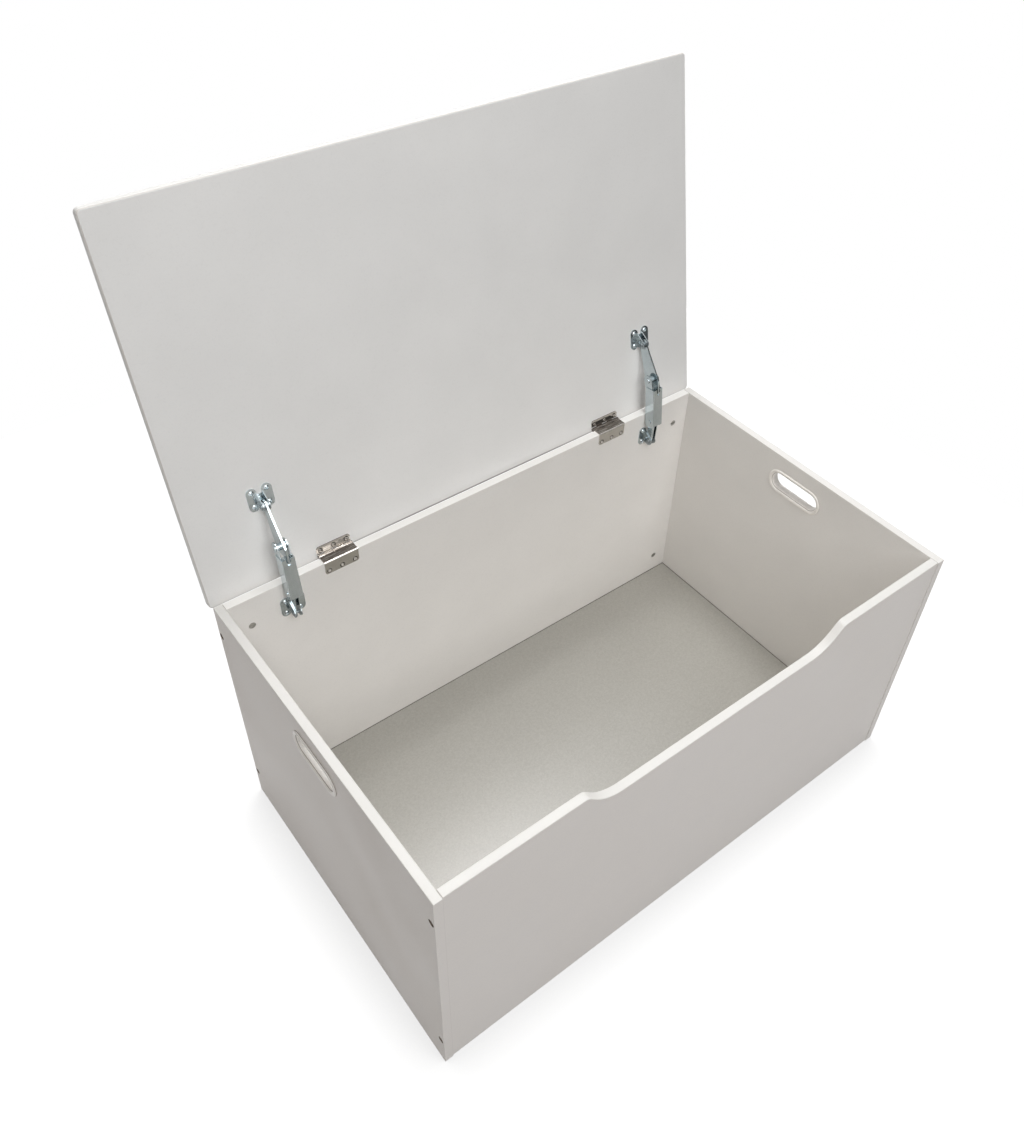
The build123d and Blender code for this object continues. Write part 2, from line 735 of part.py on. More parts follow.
def parts():
    """Every sub-part, by its name."""
    made = {
        "front_panel": front_panel(),
        "back_panel": back_panel(),
        "floor_panel": floor_panel(),
        "lid_panel": lid_panel(),
        "corner_bolts": [corner_bolt(*place) for place in corner_bolt_places()],
        "barrel_nuts": [barrel_nut(*place) for place in corner_bolt_places()],
    }
    hinge_box_screws = []
    hinge_lid_screws = []
    base_bracket_screws = []
    lid_bracket_screws = []
    raised = Pos(0, 0, bracket_sheet)
    plate = bracket()
    pin = bracket_pin()
    for name, side in (("left", -1), ("right", 1)):
        made[name + "_side_panel"] = side_panel(side)
        made[name + "_slot_liner_outer"] = slot_liner(slot_face(side, half_width, side))
        made[name + "_slot_liner_inner"] = slot_liner(slot_face(side, inner_half, -side))
        made[name + "_hinge_box_leaf"] = hinge_box_leaf(side)
        made[name + "_hinge_lid_leaf"] = hinge_lid_leaf(side)
        made[name + "_hinge_pin"] = hinge_pin(side)
        made[name + "_base_bracket"] = base_face(side) * plate
        made[name + "_base_pin"] = base_face(side) * pin
        made[name + "_lid_bracket"] = open_lid * (lid_face(side) * plate)
        made[name + "_lid_pin"] = open_lid * (lid_face(side) * pin)
        made[name + "_housing"] = housing(side)
        made[name + "_inner_channel"] = inner_channel(side)
        made[name + "_housing_foot"] = housing_foot(side)
        made[name + "_foot_rivet"] = foot_rivet(side)
        made[name + "_spring"] = spring(side)
        made[name + "_spring_follower"] = spring_follower(side)
        made[name + "_elbow_rivet"] = elbow_rivet(side)
        made[name + "_arm"] = arm(side)
        for seat in hinge_box_seats(side):
            hinge_box_screws.append(seat * screw("cone"))
        for seat in hinge_lid_seats(side):
            hinge_lid_screws.append(open_lid * (seat * screw("cone")))
        for seat in bracket_seats(base_face(side)):
            base_bracket_screws.append(seat * raised * screw("dome"))
        for seat in bracket_seats(lid_face(side)):
            lid_bracket_screws.append(open_lid * (seat * raised * screw("dome")))
    made["hinge_box_screws"] = hinge_box_screws
    made["hinge_lid_screws"] = hinge_lid_screws
    made["base_bracket_screws"] = base_bracket_screws
    made["lid_bracket_screws"] = lid_bracket_screws
    return made


os.makedirs("parts", exist_ok=True)
for name, shape in parts().items():
    solid = Compound(children=shape) if isinstance(shape, list) else shape
    export_step(solid, f"parts/{name}.step")
print("elbow", round(elbow_y, 3), round(elbow_z, 3))
print("link", round(link_length, 3), "long, tilted", round(math.degrees(link_tilt), 3))
print("hinge axis", round(axis_y, 3), round(axis_z, 3))
print("base pin", round(base_pin_y, 3), round(base_pin_z, 3))
print("lid pin", round(open_pin_y, 3), round(open_pin_z, 3))
print("least gap in a spring", round(least_spring_gap(), 3))
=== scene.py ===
# %% [markdown]
# # A toy box with its lid held open
#
# The carpentry and the metalwork come from the CAD model: boards, hinges, bolts and the two folding
# lid supports already have their true shape and place. What is left for Blender is what a drawing
# doesn't hold: how each surface takes the light, the cross-slotted screws, and the studio round it.

# %% Load the imported model
import json
import math

import bpy
import numpy as np
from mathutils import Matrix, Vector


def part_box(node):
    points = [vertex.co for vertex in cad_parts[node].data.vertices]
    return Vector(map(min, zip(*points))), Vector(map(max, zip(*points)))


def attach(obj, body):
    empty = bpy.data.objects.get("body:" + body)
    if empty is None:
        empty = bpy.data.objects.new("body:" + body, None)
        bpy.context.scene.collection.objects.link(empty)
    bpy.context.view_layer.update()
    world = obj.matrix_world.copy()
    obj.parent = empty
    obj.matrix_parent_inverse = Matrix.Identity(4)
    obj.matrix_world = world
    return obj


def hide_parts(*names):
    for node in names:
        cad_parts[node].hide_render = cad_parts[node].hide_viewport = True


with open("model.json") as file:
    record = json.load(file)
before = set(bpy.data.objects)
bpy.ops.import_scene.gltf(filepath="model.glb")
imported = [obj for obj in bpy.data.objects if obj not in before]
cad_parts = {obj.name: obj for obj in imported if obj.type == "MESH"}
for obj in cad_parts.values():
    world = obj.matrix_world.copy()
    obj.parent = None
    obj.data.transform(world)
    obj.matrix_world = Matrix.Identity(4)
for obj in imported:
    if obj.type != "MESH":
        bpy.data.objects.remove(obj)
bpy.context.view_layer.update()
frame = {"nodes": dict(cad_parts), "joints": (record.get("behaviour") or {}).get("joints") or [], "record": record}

# %% [markdown]
# ## A short way to write a material
#
# Every finish here is a node tree, and most trees are the same few steps: take the point's place on the
# piece, feed it to a noise, and let the noise nudge colour, roughness and bump. Written out in full that is
# ten lines a node. A small helper that makes a node and fills its sockets keeps each finish readable.

# %% Helpers for node trees
def put(tree, kind, settings=None, **sockets):
    """Makes a node, sets its properties, and fills its inputs with values or with other nodes' outputs."""
    node = tree.nodes.new("ShaderNode" + kind)
    for name, value in (settings or {}).items():
        setattr(node, name, value)
    for name, value in sockets.items():
        socket = node.inputs[int(name[1:])] if name[0] == "_" else node.inputs[name.replace("_", " ")]
        if isinstance(value, bpy.types.NodeSocket):
            tree.links.new(value, socket)
        else:
            socket.default_value = value
    return node


def new_finish(name):
    """An empty material: its node tree, its main shader and the point's place on the piece."""
    made = bpy.data.materials.new(name)
    made.use_nodes = True
    shader = made.node_tree.nodes["Principled BSDF"]
    place = put(made.node_tree, "TexCoord")
    return made, made.node_tree, shader, place


def stretched(tree, place, scale):
    """The piece's own coordinates, squeezed or stretched along each axis."""
    return put(tree, "Mapping", Vector=place.outputs["Object"], Scale=scale).outputs["Vector"]


def grain(tree, where, scale, detail=4.0, roughness=0.55):
    """Soft noise with so many grains to the metre, as a number about one half."""
    return put(tree, "TexNoise", Vector=where, Scale=scale, Detail=detail, Roughness=roughness).outputs["Fac"]


def spread(tree, number, low, high, start=0.3, stop=0.7):
    """Takes a number from start to stop onto low to high."""
    made = put(tree, "MapRange", _0=number, _1=start, _2=stop, _3=low, _4=high)
    return made.outputs["Result"]


def between(tree, share, first, second):
    """A colour that goes from the first to the second with a share from 0 to 1."""
    made = put(tree, "Mix", {"data_type": "RGBA"}, _0=share, _6=first, _7=second)
    return made.outputs[2]


def dimmed(tree, share, colour, level):
    """A colour that goes down to a level of itself with a share from 0 to 1."""
    grey = (level, level, level, 1.0)
    made = put(tree, "Mix", {"data_type": "RGBA", "blend_type": "MULTIPLY"}, _0=share, _6=colour, _7=grey)
    return made.outputs[2]


def calc(tree, operation, first, second=0.0):
    """One step of arithmetic on two numbers."""
    return put(tree, "Math", {"operation": operation}, _0=first, _1=second).outputs[0]


def relief(tree, shader, height, depth):
    """Turns a number into fine relief so many metres deep."""
    made = put(tree, "Bump", Height=height, Distance=depth, Strength=1.0)
    tree.links.new(made.outputs["Normal"], shader.inputs["Normal"])


def feed(tree, shader, **sockets):
    """Links outputs to the main shader's inputs."""
    for name, output in sockets.items():
        tree.links.new(output, shader.inputs[name.replace("_", " ")])


def shade(red, green, blue):
    """A colour as a socket wants it."""
    return (red, green, blue, 1.0)


print("helpers ready")

# %% [markdown]
# ## White coated board
#
# The walls are chipboard under a pressed white film, with a thin white strip ironed onto the cut edges.
# The film isn't mirror smooth: it has a faint orange-peel, its gloss changes a little from place to place,
# and outside, where daylight reaches it, it has yellowed a little. The strip has a slightly different white,
# and along its seam a hair of the brown core and glue shows. One could model the strip, but it is half
# a millimetre thick, so it is painted where the board's surface turns from the face to the edge: the share
# of the normal along one axis tells which is which.

# %% Coated board
def thin_line(tree, number, spot, half):
    """1 where a number is at a spot, falling to 0 at half to either side."""
    off = calc(tree, "ABSOLUTE", calc(tree, "SUBTRACT", number, spot))
    return spread(tree, off, 1.0, 0.0, 0.0, half)


def dotted(tree, first, second):
    """The dot product of two directions."""
    return put(tree, "VectorMath", {"operation": "DOT_PRODUCT"}, _0=first, _1=second).outputs["Value"]


def film_finish(name, inside, outside, strip, seam, turned_towards, seam_range, rough, middle):
    """White film with orange-peel, a second white on the edges, and a thin line at their seam.

    turned_towards(tree, normal) gives a number that is 0 on the faces and grows to 1 on the edges.
    A face looks outside where its normal leads away from the middle of the box.
    """
    made, tree, shader, place = new_finish(name)
    where = place.outputs["Object"]
    normal = place.outputs["Normal"]
    cloud = grain(tree, where, 9.0, detail=3.0)
    fleck = grain(tree, where, 420.0, detail=2.0)
    peel = grain(tree, where, 950.0, detail=1.0)
    away = put(tree, "VectorMath", {"operation": "SUBTRACT"}, _0=where, _1=middle).outputs[0]
    outer_share = spread(tree, dotted(tree, normal, away), 0.0, 1.0, -0.02, 0.02)
    film = between(tree, outer_share, shade(*inside), shade(*outside))
    film = dimmed(tree, spread(tree, cloud, 1.0, 0.0), film, level=0.965)
    film = dimmed(tree, spread(tree, fleck, 0.35, 0.0, 0.32, 0.46), film, level=0.93)
    turned = turned_towards(tree, normal)
    low, high = seam_range
    colour = between(tree, spread(tree, turned, 0.0, 1.0, low, high), film, shade(*strip))
    seam_share = 0.55
    on_seam = thin_line(tree, turned, 0.5 * (low + high), 0.5 * (high - low))
    colour = between(tree, calc(tree, "MULTIPLY", on_seam, seam_share), colour, shade(*seam))
    feed(tree, shader, Base_Color=colour)
    feed(tree, shader, Roughness=spread(tree, cloud, rough - 0.05, rough + 0.06))
    shader.inputs["Specular IOR Level"].default_value = 0.28
    relief(tree, shader, peel, depth=0.00006)
    return made


def wall_edge(tree, normal):
    """How far a wall's surface is turned up or down: 0 on its faces, 1 on the rim."""
    return calc(tree, "ABSOLUTE", put(tree, "SeparateXYZ", Vector=normal).outputs["Z"])


inside_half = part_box("right_side_panel")[0].x
outside_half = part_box("right_side_panel")[1].x
inside_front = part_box("front_panel")[1].y
inside_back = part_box("back_panel")[0].y
wall_low, wall_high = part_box("left_side_panel")
box_middle = (0.0, 0.5 * (inside_front + inside_back), 0.5 * (wall_low.z + wall_high.z))
wall_seam = (0.25, 0.6)
wall_film = film_finish(
    "white_coated_board",
    inside=(0.868, 0.846, 0.818),
    outside=(0.842, 0.797, 0.759),
    strip=(0.80, 0.786, 0.757),
    seam=(0.60, 0.55, 0.49),
    turned_towards=wall_edge,
    seam_range=wall_seam,
    rough=0.42,
    middle=box_middle,
)
print("the walls meet", round(inside_half, 4), "m from the middle")

# %% [markdown]
# Three marks lie over the walls' film. The strip on the back wall's rim is painted lighter than the others:
# painted light, which makes up for the shade of the open lid. Where two walls butt together a thin dark line
# shows. It lies at one distance from the middle plane, and it is mostly left to the rims, because on the upright
# faces the photograph hardly shows it. The bolts that hold the corners sit in bores, and in a bore the bare core
# of the board shows brown, darkened further by painted shade. There are four bores a side, alike about two planes,
# so the distance to the nearest one is found by folding: take the distance from the middle plane, less half the
# spacing, once along the depth and once along the height, and join the two as the sides of a right angle.

# %% Painted light on the back rim, joints and bores with painted shade
def laid_over(made, share, overlay_colour):
    """Lays a colour, a stain or painted light or shade, over the colour that a finish has so far, as much as the
    share says.
    """
    tree = made.node_tree
    shader = tree.nodes["Principled BSDF"]
    so_far = shader.inputs["Base Color"].links[0].from_socket
    feed(tree, shader, Base_Color=between(tree, share, so_far, shade(*overlay_colour)))


def folded(tree, number, middle, half):
    """How far a number is from the nearer of two places that lie half to either side of a middle."""
    off = calc(tree, "ABSOLUTE", calc(tree, "SUBTRACT", number, middle))
    return calc(tree, "ABSOLUTE", calc(tree, "SUBTRACT", off, half))


def joined_sides(tree, first, second):
    """The long side of a right angle whose short sides are two numbers."""
    squares = calc(tree, "ADD", calc(tree, "POWER", first, 2.0), calc(tree, "POWER", second, 2.0))
    return calc(tree, "SQRT", squares)


tree = wall_film.node_tree
place = tree.nodes["Texture Coordinate"].outputs
parts = put(tree, "SeparateXYZ", Vector=place["Object"]).outputs
from_middle = calc(tree, "ABSOLUTE", parts["X"])
turned = wall_edge(tree, place["Normal"])
back_edge = (inside_back - 0.0010, inside_back - 0.0005)
side_edge = (inside_half - 0.0003, inside_half)
at_back = spread(tree, parts["Y"], 0.0, 1.0, *back_edge)
off_sides = spread(tree, from_middle, 1.0, 0.0, *side_edge)
on_strip = spread(tree, turned, 0.0, 1.0, *wall_seam)
# Painted light: the strip on the back wall's rim is lightened, making up for the shade of the open lid.
painted_light_on_back_rim = calc(tree, "MULTIPLY", calc(tree, "MULTIPLY", at_back, off_sides), on_strip)
painted_light_white = (0.94, 0.925, 0.895)
laid_over(wall_film, painted_light_on_back_rim, painted_light_white)

joint_half = 0.0009
on_joint = thin_line(tree, from_middle, inside_half, joint_half)
sideways = calc(tree, "ABSOLUTE", put(tree, "SeparateXYZ", Vector=place["Normal"]).outputs["X"])
on_joint = calc(tree, "MULTIPLY", on_joint, spread(tree, sideways, 1.0, 0.0, 0.2, 0.6))
on_joint = calc(tree, "MULTIPLY", on_joint, spread(tree, turned, 0.12, 0.75, 0.2, 0.6))
bolt_head = 0.0046
bolt_low, bolt_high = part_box("corner_bolts")
bolt_middle = 0.5 * (bolt_low + bolt_high)
bolt_reach = 0.5 * (bolt_high - bolt_low)
bore_depth_half = bolt_reach.y - bolt_head
bore_height_half = bolt_reach.z - bolt_head
to_bolt = joined_sides(
    tree,
    folded(tree, parts["Y"], bolt_middle.y, bore_depth_half),
    folded(tree, parts["Z"], bolt_middle.z, bore_height_half),
)
# Painted shade: the bore round each bolt head is darkened, the brown core and the shade in the bore together.
bore_edge = (bolt_head + 0.0001, bolt_head + 0.0004)
bore_core_and_shade = (0.17, 0.13, 0.10)
in_bore_painted_shade = spread(tree, to_bolt, 1.0, 0.0, *bore_edge)
laid_over(wall_film, calc(tree, "MAXIMUM", on_joint, in_bore_painted_shade), bore_core_and_shade)
print("bores", round(2.0 * bore_depth_half, 4), "by", round(2.0 * bore_height_half, 4), "m apart")

# %% [markdown]
# ## The lid
#
# The lid is the same board with a softly rounded rim all round. Its edge is told from its face the other way
# about: the face is where the normal runs along the direction that the lid's underside looks, so one less that
# share is 0 on both faces and grows towards the rim. The lid stands open in the model, so that direction is
# straight down turned by the hinge's range. Along its hinged edge, below the rim of the back wall, a thin dark
# line of painted shade, the shade of the gap, lies between the hinges and is nearly gone past them.

# %% Lid board
hinge = next(joint for joint in frame["joints"] if joint["name"] == "lid_hinge")
open_angle = math.radians(hinge["range_deg"][1])
lid_out = (0.0, -math.sin(open_angle), -math.cos(open_angle))


def lid_edge(tree, normal):
    """One less the share of the normal along the way that the lid's underside looks."""
    return calc(tree, "SUBTRACT", 1.0, calc(tree, "ABSOLUTE", dotted(tree, normal, lid_out)))


lid_film = film_finish(
    "white_lid_board",
    inside=(0.915, 0.907, 0.892),
    outside=(0.80, 0.775, 0.75),
    strip=(0.82, 0.81, 0.79),
    seam=(0.56, 0.50, 0.45),
    turned_towards=lid_edge,
    seam_range=(0.12, 0.45),
    rough=0.40,
    middle=box_middle,
)
tree = lid_film.node_tree
parts = put(tree, "SeparateXYZ", Vector=tree.nodes["Texture Coordinate"].outputs["Object"]).outputs
line_edge = (wall_high.z - 0.0045, wall_high.z - 0.0026)
fade_range = (0.12, 0.28)
line_share = 0.75
left_past_hinges = 0.12
gap_shade_brown = (0.12, 0.10, 0.085)
# Painted shade: a dark line on the lid where the gap behind the back rim is in shade.
painted_gap_shade = spread(tree, parts["Z"], line_share, 0.0, *line_edge)
from_middle = calc(tree, "ABSOLUTE", parts["X"])
painted_gap_shade = calc(tree, "MULTIPLY", painted_gap_shade, spread(tree, from_middle, 1.0, left_past_hinges, *fade_range))
laid_over(lid_film, painted_gap_shade, gap_shade_brown)
print("the open lid's underside faces", [round(part, 3) for part in lid_out])

# %% [markdown]
# ## The floor
#
# The bottom is a thinner hardboard with a printed grey film. Up close it is full of tiny light and dark
# specks, and it is shinier than the walls. Cells of a Voronoi pattern give the specks, a low roughness the
# sheen. That it gets paler towards the front isn't painted: the open lid keeps the lamp overhead off its
# back half. Where the board slips into the grooves of the walls a thin dark line shows. It could be left to
# the shadow in the gap, but that is thinner than a dot of the picture, so the film darkens over its last
# millimetre too.

# %% Speckled floor film
def speckled_film(name, light, dark, joint, rough, half_width, front, back):
    """A printed film: specks of a millimetre or two in two sizes, over soft clouds.

    The distance to the nearest wall is the least of half_width - |x|, y - front and back - y.
    """
    made, tree, shader, place = new_finish(name)
    where = place.outputs["Object"]
    fine = put(tree, "TexVoronoi", Vector=where, Scale=620.0).outputs["Color"]
    speck = put(tree, "SeparateColor", Color=fine).outputs["Red"]
    coarse = grain(tree, where, 260.0, detail=3.0)
    cloud = grain(tree, where, 5.0, detail=2.0)
    mixed = calc(tree, "ADD", calc(tree, "MULTIPLY", speck, 0.3), calc(tree, "MULTIPLY", coarse, 0.6))
    mixed = calc(tree, "ADD", mixed, calc(tree, "MULTIPLY", cloud, 0.1))
    film = between(tree, spread(tree, mixed, 0.0, 1.0), shade(*dark), shade(*light))
    parts = put(tree, "SeparateXYZ", Vector=where).outputs
    to_side = calc(tree, "SUBTRACT", half_width, calc(tree, "ABSOLUTE", parts["X"]))
    to_front = calc(tree, "SUBTRACT", parts["Y"], front)
    to_back = calc(tree, "SUBTRACT", back, parts["Y"])
    to_wall = calc(tree, "MINIMUM", to_side, calc(tree, "MINIMUM", to_front, to_back))
    joint_share = 0.85
    joint_edge = (0.0004, 0.0016)
    # Painted shade: the film darkens over its last millimetre, where the gap into the wall's groove is in shade.
    painted_joint_shade = spread(tree, to_wall, joint_share, 0.0, *joint_edge)
    feed(tree, shader, Base_Color=between(tree, painted_joint_shade, film, shade(*joint)))
    feed(tree, shader, Roughness=spread(tree, coarse, rough - 0.04, rough + 0.05))
    shader.inputs["Specular IOR Level"].default_value = 0.9
    relief(tree, shader, coarse, depth=0.00004)
    return made


floor_film = speckled_film(
    "speckled_floor_film",
    light=(0.49, 0.477, 0.438),
    dark=(0.423, 0.41, 0.372),
    joint=(0.10, 0.09, 0.08),
    rough=0.34,
    half_width=inside_half,
    front=inside_front,
    back=inside_back,
)
print("the floor shows", round(2.0 * inside_half, 3), "by", round(inside_back - inside_front, 3), "m")

# %% [markdown]
# ## Plated steel
#
# Four finishes are metal. The hinges are nickel plated and polished, a warm mirror with fine lengthwise
# lines. The lid supports are zinc plated, bluer and cloudier, as parts tumbled in a bath are. The springs
# are oiled wire, and the bolts and barrel nuts are dull zinc. One recipe does for all: a cloudy tint,
# a cloudy gloss and fine scratches that run along one axis, each with its own numbers.

# %% Plated metal
def plated_steel(name, light, dark, rough, lines, depth, cloud_scale=130.0):
    """Metal with clouds in its tint and gloss, and fine lines stretched by the scale in lines."""
    made, tree, shader, place = new_finish(name)
    cloud = grain(tree, place.outputs["Object"], cloud_scale, detail=5.0, roughness=0.6)
    scratch = grain(tree, stretched(tree, place, lines), 1.0, detail=3.0, roughness=0.7)
    tint = calc(tree, "ADD", calc(tree, "MULTIPLY", cloud, 0.65), calc(tree, "MULTIPLY", scratch, 0.35))
    feed(tree, shader, Base_Color=between(tree, spread(tree, tint, 0.0, 1.0), shade(*dark), shade(*light)))
    feed(tree, shader, Roughness=spread(tree, cloud, 1.25 * rough, 0.75 * rough))
    shader.inputs["Metallic"].default_value = 1.0
    relief(tree, shader, scratch, depth)
    return made


nickel = plated_steel(
    "polished_nickel",
    light=(0.70, 0.68, 0.645),
    dark=(0.58, 0.56, 0.525),
    rough=0.06,
    lines=(60.0, 1500.0, 1500.0),
    depth=0.000004,
)
zinc = plated_steel(
    "bright_zinc",
    light=(0.61, 0.67, 0.69),
    dark=(0.50, 0.56, 0.585),
    rough=0.14,
    lines=(700.0, 700.0, 90.0),
    depth=0.000006,
    cloud_scale=60.0,
)
spring_wire = plated_steel(
    "oiled_spring_wire",
    light=(0.34, 0.34, 0.35),
    dark=(0.22, 0.22, 0.23),
    rough=0.30,
    lines=(700.0, 700.0, 700.0),
    depth=0.00001,
)
dull_zinc = plated_steel(
    "dull_zinc",
    light=(0.64, 0.63, 0.61),
    dark=(0.46, 0.45, 0.43),
    rough=0.30,
    lines=(800.0, 800.0, 800.0),
    depth=0.00002,
)
print("four metals ready")

# %% [markdown]
# Round the pin and on the level part of a leaf the nickel is painted dark brown, and the upright parts are left
# clean: this is painted shade and painted dark reflection. The distance to the hinge's axis tells how near the pin
# a point is, and on the level part less of it counts. Streaks of noise along the axis leave lines of bare metal. A
# dark ring of painted shade also fills the sink round each screw: the pattern is the same at both hinges, so the
# distance to the nearest screw is found by folding the place along the hinge twice.

# %% Painted shade and dark reflection on the hinges
def off_axis(tree, parts, depth, height):
    """How far a point is from a line that runs across the box at a depth and a height."""
    return joined_sides(
        tree, calc(tree, "SUBTRACT", parts["Y"], depth), calc(tree, "SUBTRACT", parts["Z"], height)
    )


axis = np.array(hinge["pos_m"])
leaf_pitch = 0.0195
leaf_sheet = 0.0012
box_row_lift = 0.005
lid_row_reach = 0.0075
lid_above_axis = 0.0033
level_part = 0.0115
pin_shade_edge = (0.003, 0.0048)
pin_shade_brown = (0.10, 0.08, 0.065)
shut_lid_under = axis[2] + lid_above_axis
tree = nickel.node_tree
place = tree.nodes["Texture Coordinate"]
parts = put(tree, "SeparateXYZ", Vector=place.outputs["Object"]).outputs
upwards = calc(tree, "ABSOLUTE", put(tree, "SeparateXYZ", Vector=place.outputs["Normal"]).outputs["Z"])
to_pin = off_axis(tree, parts, axis[1], axis[2])
to_pin = calc(tree, "SUBTRACT", to_pin, spread(tree, upwards, 0.0, level_part, 0.4, 0.9))
streak = grain(tree, stretched(tree, place, (50.0, 1000.0, 1000.0)), 1.0, detail=3.0, roughness=0.7)
# Painted shade and dark reflection round the pin, broken by streaks of bare metal.
painted_pin_shade = spread(tree, to_pin, 0.9, 0.0, *pin_shade_edge)
painted_pin_shade = calc(tree, "MULTIPLY", painted_pin_shade, spread(tree, streak, 1.0, 0.25, 0.52, 0.64))
laid_over(nickel, painted_pin_shade, pin_shade_brown)

head_edge = (0.0022, 0.0027)
sink_edge = (0.0034, 0.0041)
sink_shade_brown = (0.08, 0.07, 0.06)
leaf_low, leaf_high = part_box("right_hinge_box_leaf")
box_row = leaf_low.z + box_row_lift
lid_leaf_rise = shut_lid_under - leaf_sheet - axis[2]
lid_row = axis[2] + lid_row_reach * math.sin(open_angle) + lid_leaf_rise * math.cos(open_angle)
along = calc(tree, "SUBTRACT", calc(tree, "ABSOLUTE", parts["X"]), 0.5 * (leaf_low.x + leaf_high.x))
to_screw = calc(tree, "MINIMUM", calc(tree, "ABSOLUTE", along), folded(tree, along, 0.0, leaf_pitch))
to_row = folded(tree, parts["Z"], 0.5 * (box_row + lid_row), 0.5 * (lid_row - box_row))
off_screw = joined_sides(tree, to_screw, to_row)
# Painted shade: a dark ring in the sink round each screw head.
past_head = spread(tree, off_screw, 0.0, 0.85, *head_edge)
within_sink = spread(tree, off_screw, 1.0, 0.0, *sink_edge)
laid_over(nickel, calc(tree, "MULTIPLY", past_head, within_sink), sink_shade_brown)
print("oil round the pin at", axis.round(4).tolist())
print("rows of screws at", round(box_row, 4), "and", round(lid_row, 4), "m")

# %% [markdown]
# The end pivots of the lid supports are greased too. Grease takes away the zinc's mirror, and round a pin the zinc
# is painted grey: painted shade, which dims the bright lugs. Both the colour and the roughness follow the distance
# to the nearer of the two pins. The pins run across the box and the two supports are alike, so only the height and
# the depth of a point count.

# %% Grease and painted shade round the support pivots
tree = zinc.node_tree
shader = tree.nodes["Principled BSDF"]
where = tree.nodes["Texture Coordinate"].outputs["Object"]
parts = put(tree, "SeparateXYZ", Vector=where).outputs
to_pins = []
for node in ("left_lid_pin", "left_base_pin"):
    low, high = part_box(node)
    pin_depth = 0.5 * (low.y + high.y)
    pin_height = 0.5 * (low.z + high.z)
    to_pins.append(off_axis(tree, parts, pin_depth, pin_height))
    print("grease round the", node, "at", round(pin_depth, 4), round(pin_height, 4))
grease_dulls = 0.3
grease_edge = (0.004, 0.010)
pivot_shade_grey = (0.16, 0.175, 0.185)
# Painted shade: the zinc round the pivots is painted grey; the same share makes it rougher, as grease does.
grease_and_shade = spread(tree, calc(tree, "MINIMUM", *to_pins), 1.0, 0.0, *grease_edge)
smear = grain(tree, where, 300.0, detail=3.0)
grease_and_shade = calc(tree, "MULTIPLY", grease_and_shade, spread(tree, smear, 0.5, 0.9))
laid_over(zinc, grease_and_shade, pivot_shade_grey)
polished = shader.inputs["Roughness"].links[0].from_socket
feed(tree, shader, Roughness=calc(tree, "ADD", polished, calc(tree, "MULTIPLY", grease_and_shade, grease_dulls)))

# %% [markdown]
# ## Slot liners
#
# Each finger slot is lined with two halves of smooth moulded plastic, a little warmer than the boards.
# Moulded plastic has hardly any grain, only a soft unevenness of gloss, so the noise stays large and weak.
# Where a rim lies on the board, a fine dark outline of painted shade, the shade in that corner, is drawn round it.

# %% Moulded plastic
def moulded_plastic(name, light, dark, contact_shade, rough, board_middle, board_half):
    """Smooth plastic with a faint unevenness, and painted shade where it touches the board.

    The height above the board is the distance from the board's middle plane, less half its thickness.
    """
    made, tree, shader, place = new_finish(name)
    where = place.outputs["Object"]
    cloud = grain(tree, where, 55.0, detail=2.0)
    pores = grain(tree, where, 1400.0, detail=1.0)
    colour = between(tree, spread(tree, cloud, 0.0, 1.0), shade(*dark), shade(*light))
    distance = calc(tree, "ABSOLUTE", put(tree, "SeparateXYZ", Vector=where).outputs["X"])
    from_middle = calc(tree, "ABSOLUTE", calc(tree, "SUBTRACT", distance, board_middle))
    height = calc(tree, "SUBTRACT", from_middle, board_half)
    contact_shade_share = 0.85
    contact_shade_edge = (0.0003, 0.0010)
    board_edge = (-0.0002, 0.0)
    # Painted shade: a dark outline where the liner's rim meets the board.
    low_down = spread(tree, height, contact_shade_share, 0.0, *contact_shade_edge)
    painted_contact_shade = calc(tree, "MULTIPLY", low_down, spread(tree, height, 0.0, 1.0, *board_edge))
    feed(tree, shader, Base_Color=between(tree, painted_contact_shade, colour, shade(*contact_shade)))
    feed(tree, shader, Roughness=spread(tree, cloud, rough - 0.04, rough + 0.04))
    relief(tree, shader, pores, depth=0.00002)
    return made


liner_plastic = moulded_plastic(
    "moulded_liner_plastic",
    light=(0.95, 0.92, 0.88),
    dark=(0.925, 0.89, 0.845),
    contact_shade=(0.24, 0.20, 0.17),
    rough=0.30,
    board_middle=0.5 * (outside_half + inside_half),
    board_half=0.5 * (outside_half - inside_half),
)
print("the sides are", round(1000.0 * (outside_half - inside_half), 1), "mm thick")

# %% [markdown]
# ## Give every CAD node its finish
#
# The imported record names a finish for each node, so the nodes are dressed from it and none is forgotten.

# %% Dress the nodes
finishes = {
    "white_board": wall_film,
    "lid_board": lid_film,
    "floor_board": floor_film,
    "liner_plastic": liner_plastic,
    "nickel": nickel,
    "zinc": zinc,
    "spring_steel": spring_wire,
    "dark_zinc": dull_zinc,
}
for subpart in frame["record"]["subparts"]:
    mesh = frame["nodes"][subpart["node"]].data
    mesh.materials.clear()
    mesh.materials.append(finishes[subpart["material_slot"]])

# %% [markdown]
# ## Cross-slotted screws
#
# In the CAD model the screws are plain, as a drawing shows them. Real ones have a cross recess and a
# thread. A screw is a surface of revolution, so one grid does it: rows run down the outline from the
# middle of the head to the tip, columns run round. On the rows of the head the cross is pushed in, and on
# the rows of the shank a helix is pushed out. All screws of a kind are copies of that grid, turned and
# moved into their seats as whole arrays.

# %% A screw as one grid
def smooth_step(value, low, high):
    """0 at low and beyond, 1 at high and beyond, and a smooth cubic between them."""
    share = np.clip((value - low) / (high - low), 0.0, 1.0)
    return share * share * (3.0 - 2.0 * share)


